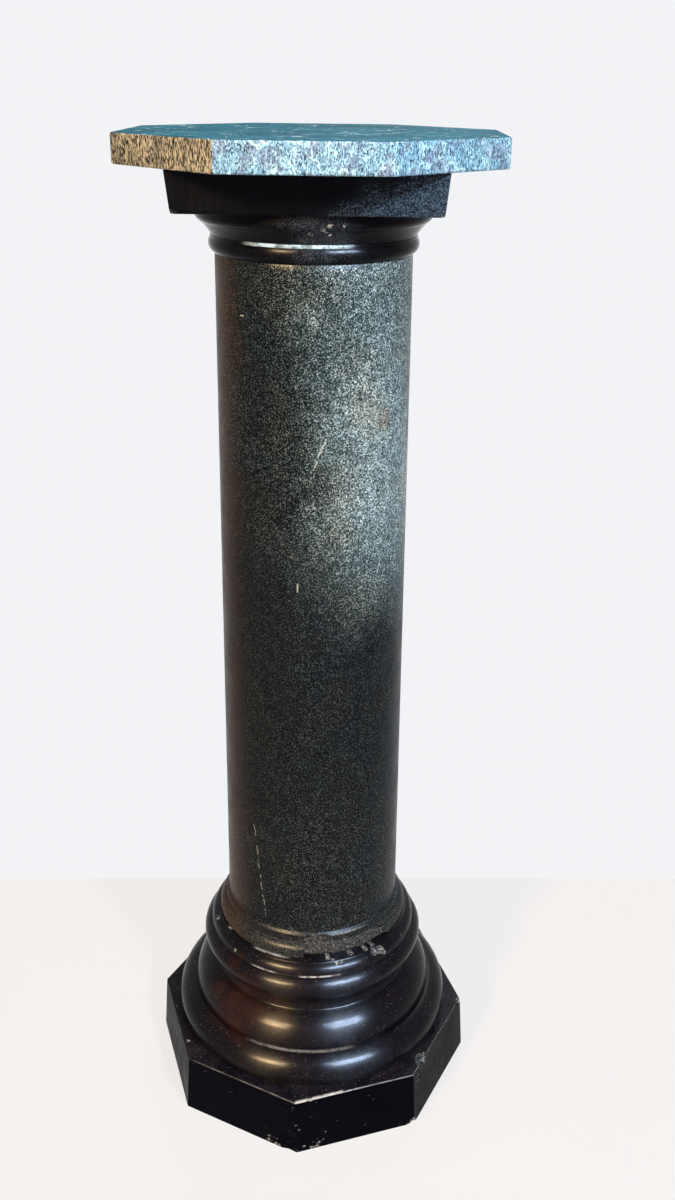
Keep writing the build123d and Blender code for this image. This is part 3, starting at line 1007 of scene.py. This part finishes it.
def make_slab():
    """The octagonal slab, with square sawn sides and a polished top."""
    corners = [side_angle / 2 + side_angle * k for k in range(8)]
    azimuths = azimuth_steps(1.0, 0.5, (200.0, 340.0), corners, 0.1, 0.6)

    def side(inset):
        return polygon_reach(azimuths, 8, 0.0, slab_apothem - inset, slab_corner - inset * 0.5)

    angles = np.linspace(0.0, pi / 2, 6)
    outside = [(side(slab_arris * (1 - sin(a))), slab_bed + slab_arris * (1 - cos(a))) for a in angles]
    for height in np.linspace(slab_bed + slab_arris, column_top - slab_arris, 18)[1:-1]:
        outside.append((side(0.0), height))
    outside += [(side(slab_arris * (1 - cos(a))), column_top - slab_arris * (1 - sin(a))) for a in angles]
    for inset in (4.0, 7.0, 12.0, 20.0, 34.0, 60.0):
        outside.append((side(slab_arris) - inset, column_top))
    slab = Piece(azimuths)
    close_block(slab, outside, dowel_socket("slab_dowel", 1), None)
    luck = Random(11)
    reach = slab_apothem / cos(pi / 8)
    for k in range(8):
        start, end = radians(corners[k - 1]), radians(corners[k])
        for edge in (slab_bed, column_top):
            for _ in range(6):
                share = luck.random()
                x = reach * (cos(start) * (1 - share) + cos(end) * share)
                y = reach * (sin(start) * (1 - share) + sin(end) * share)
                radius = luck.uniform(1.5, 3.0)
                depth = luck.uniform(0.9, 1.5)
                push = 1.0 + (radius - depth) / sqrt(x * x + y * y)
                slab.spall(np.array([x * push, y * push, edge]), radius, 0.3, 0.9, 0.5)

    piece = slab.mesh("slab_stone", [slab_edge, slab_top], above(column_top - 2.0, 0.75))
    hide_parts("top_slab")


# The stones as they are used
shaft_marble = shaft_stone()
base_stone = dark_stone(
    "base_marble",
    low=(0.0006, 0.0006, 0.0018),
    high=(0.0075, 0.0048, 0.0082),
    flecks=((0.085, 0.08, 0.082), 0.075, 520.0),
    gloss=(1.14, 0.5),
    polish=(0.28, 0.44),
    stain_and_lit_patch=((-0.075, -0.105, 0.142), 0.0, 0.055, (0.03, 0.009, 0.006), 0.0),
    turned=0.85,
    wax=(1.1, 0.16),
)
# The neck's stone: a paler patch with more flecks at the front of the cavetto is painted light, and its
# fillet's cool pale line is wear and a painted highlight
capital_stone = dark_stone(
    "capital_marble",
    low=(0.0004, 0.0004, 0.0012),
    high=(0.004, 0.0034, 0.006),
    flecks=((0.055, 0.062, 0.075), 0.25, 900.0),
    gloss=(1.1, 0.5),
    polish=(0.26, 0.38),
    stain_and_lit_patch=((0.0106, -0.1, 0.977), 0.012, 0.05, (0.006, 0.0075, 0.011), 0.2),
    turned=0.7,
    wax=(1.07, 0.14),
    pale_arris=(0.56, 0.72, 0.82),
)
# The abacus's stone: a paler patch with more flecks at the lower right of its front is painted light,
# bounded where the slab's shadow ends
abacus_stone = dark_stone(
    "abacus_marble",
    low=(0.0004, 0.0005, 0.0018),
    high=(0.002, 0.0028, 0.006),
    flecks=((0.085, 0.115, 0.155), 0.22, 800.0),
    gloss=(1.5, 0.05),
    polish=(0.35, 0.5),
    stain_and_lit_patch=((0.309, -0.118, 0.484), 0.584, 0.604, (0.008, 0.013, 0.021), 0.3),
)
plinth_side = dark_stone(
    "plinth_side_marble",
    low=(0.0004, 0.0004, 0.0024),
    high=(0.0015, 0.0014, 0.0048),
    flecks=((0.06, 0.06, 0.07), 0.03, 300.0),
    gloss=(1.5, 0.02),
    polish=(0.3, 0.45),
)
plinth_top = dark_stone(
    "plinth_top_marble",
    low=(0.003, 0.0026, 0.0055),
    high=(0.019, 0.016, 0.021),
    flecks=((0.15, 0.14, 0.14), 0.08, 520.0),
    gloss=(1.13, 0.5),
    polish=(0.3, 0.45),
)
slab_edge = slab_edge_stone()
slab_top = slab_top_stone()

make_plinth()
make_base()
make_shaft()
make_capital()
make_slab()

iron = dowel_iron()
for name in ("base_dowel", "shaft_dowel", "capital_dowel", "slab_dowel"):
    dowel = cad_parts[name]
    dowel.data.materials.clear()
    dowel.data.materials.append(iron)


# The floor's far edge is a line: its y where x is 0, and its slope along x
floor_edge, floor_edge_slope = 0.3151, 0.04848
floor_half = 6.0
pale_ground = (0.885, 0.895, 0.915)
pale_floor = (1.0, 0.975, 0.965)
floor_glow = 0.76


def make_floor():
    """A plain cream floor with a pale ground beyond it; both keep their tone in reflections."""
    made = bpy.data.meshes.new("floor")
    corners = [(-1, -1), (1, -1), (1, 1), (-1, 1)]
    made.from_pydata([(floor_half * x, floor_half * y, 0) for x, y in corners], [], [(0, 1, 2, 3)])
    floor = add_object("floor", made)
    s = Shader("floor")
    s.set(Base_Color=(0.6, 0.6, 0.62, 1.0), Roughness=0.9, Specular_IOR_Level=0.0)
    x, y, _ = s.axes()
    beyond = s.minus(s.minus(y, s.times(x, floor_edge_slope)), floor_edge)
    beyond = s.range(beyond, -0.004, 0.004)
    share = s.range(beyond, 0.0, 1.0, floor_glow, 1.0)
    glow = s.node("ShaderNodeEmission", {"Color": s.mix(beyond, pale_floor, pale_ground)})
    amounts = {0: s.times(share, s.seen()), 1: s.surface.outputs["BSDF"], 2: glow.outputs["Emission"]}
    s.put(s.output.inputs["Surface"], s.node("ShaderNodeMixShader", amounts).outputs[0])
    made.materials.append(s.material)


def make_world():
    """A soft even light from all round, and a pale background that reflections show too."""
    world = bpy.data.worlds.new("studio")
    bpy.context.scene.world = world
    world.use_nodes = True
    nodes = Nodes(world.node_tree)
    light = nodes.node("ShaderNodeBackground", {"Color": (0.96, 0.98, 1.0, 1.0), "Strength": 0.22})
    ground = nodes.node("ShaderNodeBackground", {"Color": (*pale_ground, 1.0), "Strength": 1.0})
    amounts = {0: nodes.seen(), 1: light.outputs[0], 2: ground.outputs[0]}
    mixed = nodes.node("ShaderNodeMixShader", amounts)
    nodes.node("ShaderNodeOutputWorld", {"Surface": mixed.outputs[0]})


def make_lamp(name, azimuth, distance, height, target, size, power, colour, mirrored_only=False):
    """A soft lamp at an azimuth, distance from the axis and height, turned to its target.

    A lamp that is mirrored only is a card for the polished mouldings, and lights nothing.
    """
    data = bpy.data.lights.new(name, "AREA")
    data.shape = "RECTANGLE"
    data.size, data.size_y = size
    data.energy = power
    data.color = colour
    lamp = add_object(name, data)
    lamp.location = at(azimuth, distance, height)
    lamp.rotation_euler = (Vector(target) - lamp.location).to_track_quat("-Z", "Y").to_euler()
    lamp.visible_diffuse = not mirrored_only


def make_camera():
    """The camera at the photograph's place, looking down at the column."""
    azimuth, distance, height = -87.006, 1.16441, 1.10834
    look_azimuth, look_down, roll = 91.721, radians(23.768), radians(-0.649)
    focal_pixels, frame_pixels = 1197.42, 1200.0
    data = bpy.data.cameras.new("camera")
    data.sensor_fit = "VERTICAL"
    data.sensor_height = 36.0
    data.lens = focal_pixels / frame_pixels * data.sensor_height
    data.clip_start = 0.01
    camera = add_object("camera", data)
    forward = Vector(at(look_azimuth, cos(look_down), -sin(look_down)))
    level_right = forward.cross(Vector((0, 0, 1))).normalized()
    down = forward.cross(level_right)
    right = level_right * cos(roll) + down * sin(roll)
    up = level_right * sin(roll) - down * cos(roll)
    turned = Matrix((right, up, -forward)).transposed().to_4x4()
    place = Vector(at(azimuth, distance, height))
    camera.matrix_world = Matrix.Translation(place) @ turned
    bpy.context.scene.camera = camera


make_floor()
make_world()
make_lamp("cool_key", 303.0, 1.32, 1.72, (0, 0, 0.6), (0.13, 0.13), 26.0, (0.76, 0.9, 1.0))
make_lamp("warm_side", 237.0, 6.0, 4.2, (0, 0, 0.5), (0.6, 0.6), 380.0, (1.0, 0.72, 0.42))
make_lamp("back_fill", 80.0, 2.4, 2.4, (0, 0, 0.5), (1.2, 1.2), 22.0, (1.0, 0.98, 0.95))
make_lamp("cool_card", 307.0, 3.0, 2.8, (0, 0, 0.3), (1.9, 1.5), 2000.0, (0.55, 0.72, 1.0), True)
make_lamp("warm_card", 237.0, 6.0, 4.6, (0, 0, 0.3), (2.6, 2.6), 3500.0, (1.0, 0.7, 0.38), True)
make_camera()

bpy.context.scene.view_settings.view_transform = "Standard"
